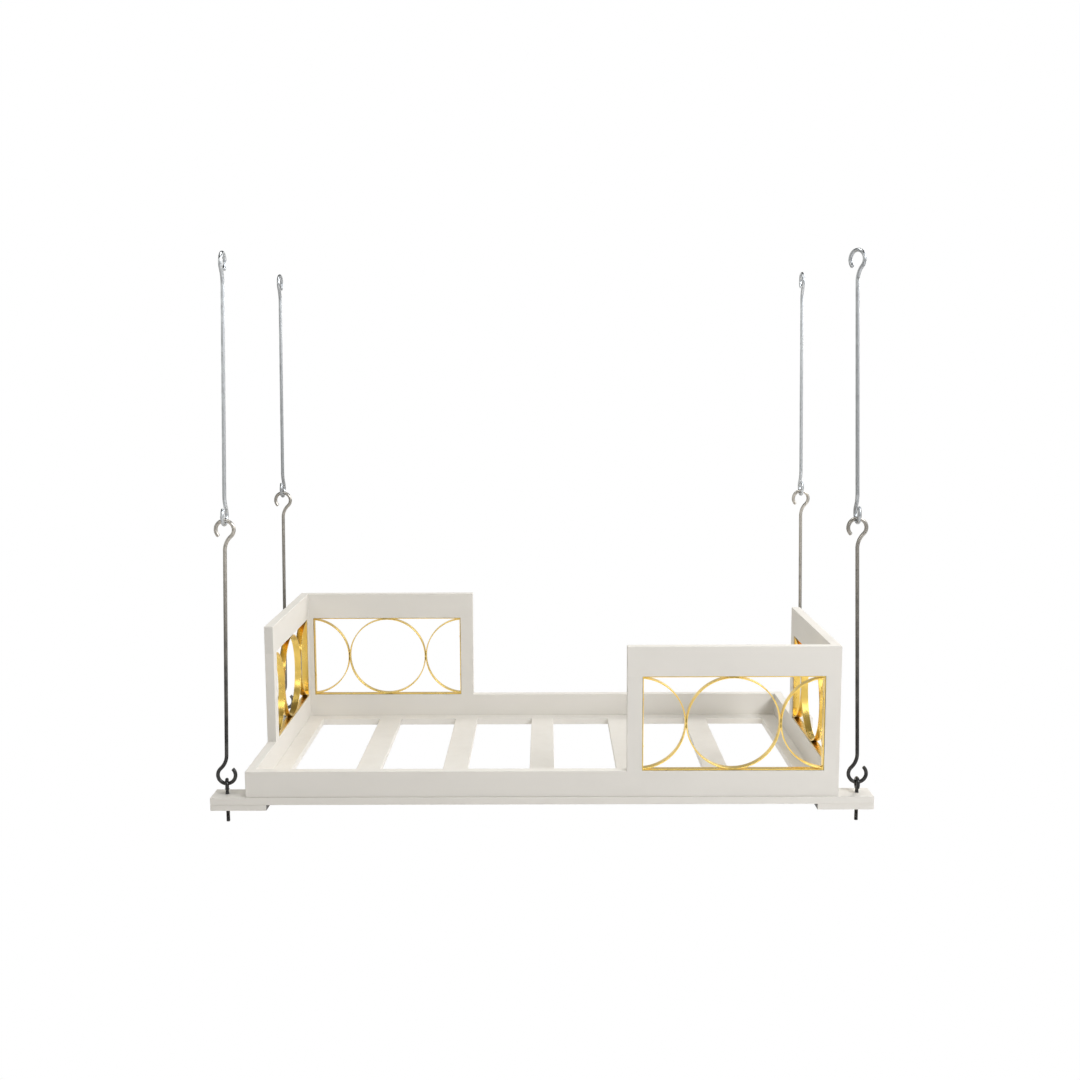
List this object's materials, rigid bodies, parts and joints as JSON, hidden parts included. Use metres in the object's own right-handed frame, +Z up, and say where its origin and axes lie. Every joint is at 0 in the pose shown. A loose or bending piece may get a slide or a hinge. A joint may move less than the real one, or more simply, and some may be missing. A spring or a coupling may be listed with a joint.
{
  "type": "hanging porch daybed frame",
  "caption": "Painted timber porch daybed frame with slats and corner screens with gold ring grilles, hung from paired hooked steel rods.",
  "frame": {"origin": "centre of the middle slat's top face, level with the tops of the base rails", "axes": "+X along the bed to the right as seen from the front, +Y from the front to the back, +Z up"},
  "size_m": [2.238, 1.082, 1.9098],
  "materials": {
    "painted_timber": "satin paint, warm off-white",
    "dowel_wood": "bare beech",
    "gold_leaf_bar": "gold leafed flat steel bar with darker patina",
    "gold_screw": "gold finished",
    "zinc_screw": "zinc plated",
    "black_steel": "black, semi-gloss",
    "lower_rod_steel": "blackened steel, darker towards its foot",
    "upper_rod_steel": "pale plated steel"
  },
  "bodies": {
    "upper_rods": {"back_left_upper_rod": "upper_rod_steel", "back_right_upper_rod": "upper_rod_steel", "front_left_upper_rod": "upper_rod_steel", "front_right_upper_rod": "upper_rod_steel"},
    "front_left_lower_rod": {"front_left_lower_rod": "lower_rod_steel"},
    "front_right_lower_rod": {"front_right_lower_rod": "lower_rod_steel"},
    "back_left_lower_rod": {"back_left_lower_rod": "lower_rod_steel"},
    "back_right_lower_rod": {"back_right_lower_rod": "lower_rod_steel"},
    "bed": {"back_base_rail": "painted_timber", "back_grille_frame": "gold_leaf_bar", "back_grille_half_rings": "gold_leaf_bar", "back_grille_ring": "gold_leaf_bar", "back_left_eyebolt": "black_steel", "back_left_hanger_block": "painted_timber", "back_panel_corner_stile": "painted_timber", "back_panel_free_stile": "painted_timber", "back_panel_top_rail": "painted_timber", "back_right_eyebolt": "black_steel", "back_right_hanger_block": "painted_timber", "back_side_board": "painted_timber", "dowels": "dowel_wood", "eyebolt_nuts": "black_steel", "eyebolt_washers": "black_steel", "frame_screws": "zinc_screw", "front_base_rail": "painted_timber", "front_grille_frame": "gold_leaf_bar", "front_grille_half_rings": "gold_leaf_bar", "front_grille_ring": "gold_leaf_bar", "front_left_eyebolt": "black_steel", "front_left_hanger_block": "painted_timber", "front_panel_corner_stile": "painted_timber", "front_panel_free_stile": "painted_timber", "front_panel_top_rail": "painted_timber", "front_right_eyebolt": "black_steel", "front_right_hanger_block": "painted_timber", "front_side_board": "painted_timber", "grille_screws": "gold_screw", "left_base_rail": "painted_timber", "left_end_board": "painted_timber", "left_grille_frame": "gold_leaf_bar", "left_grille_half_rings": "gold_leaf_bar", "left_grille_ring": "gold_leaf_bar", "left_panel_corner_stile": "painted_timber", "left_panel_free_stile": "painted_timber", "left_panel_top_rail": "painted_timber", "right_base_rail": "painted_timber", "right_end_board": "painted_timber", "right_grille_frame": "gold_leaf_bar", "right_grille_half_rings": "gold_leaf_bar", "right_grille_ring": "gold_leaf_bar", "right_panel_corner_stile": "painted_timber", "right_panel_free_stile": "painted_timber", "right_panel_top_rail": "painted_timber", "slat_1": "painted_timber", "slat_2": "painted_timber", "slat_3": "painted_timber", "slat_4": "painted_timber", "slat_5": "painted_timber"}
  },
  "joints": [
    {"name": "front_left_rod_swing", "type": "hinge", "parent": "upper_rods", "child": "front_left_lower_rod", "pos_m": [-1.04752, -0.4945, 0.93637], "axis": [1, 0, 0], "range_deg": [-20, 20]},
    {"name": "front_right_rod_swing", "type": "hinge", "parent": "upper_rods", "child": "front_right_lower_rod", "pos_m": [1.04752, -0.4945, 0.93637], "axis": [1, 0, 0], "range_deg": [-20, 20]},
    {"name": "back_left_rod_swing", "type": "hinge", "parent": "upper_rods", "child": "back_left_lower_rod", "pos_m": [-1.05706, 0.4945, 0.93658], "axis": [1, 0, 0], "range_deg": [-20, 20]},
    {"name": "back_right_rod_swing", "type": "hinge", "parent": "upper_rods", "child": "back_right_lower_rod", "pos_m": [1.05706, 0.4945, 0.93658], "axis": [1, 0, 0], "range_deg": [-20, 20]},
    {"name": "bed_level", "type": "hinge", "parent": "front_left_lower_rod", "child": "bed", "pos_m": [-1.071, -0.4945, 0.0357], "axis": [1, 0, 0], "range_deg": [-20, 20]}
  ],
  "couplings": [
    {"joint": "front_right_rod_swing", "follows": "front_left_rod_swing", "ratio": 1},
    {"joint": "back_left_rod_swing", "follows": "front_left_rod_swing", "ratio": 1},
    {"joint": "back_right_rod_swing", "follows": "front_left_rod_swing", "ratio": 1},
    {"joint": "bed_level", "follows": "front_left_rod_swing", "ratio": -1}
  ]
}
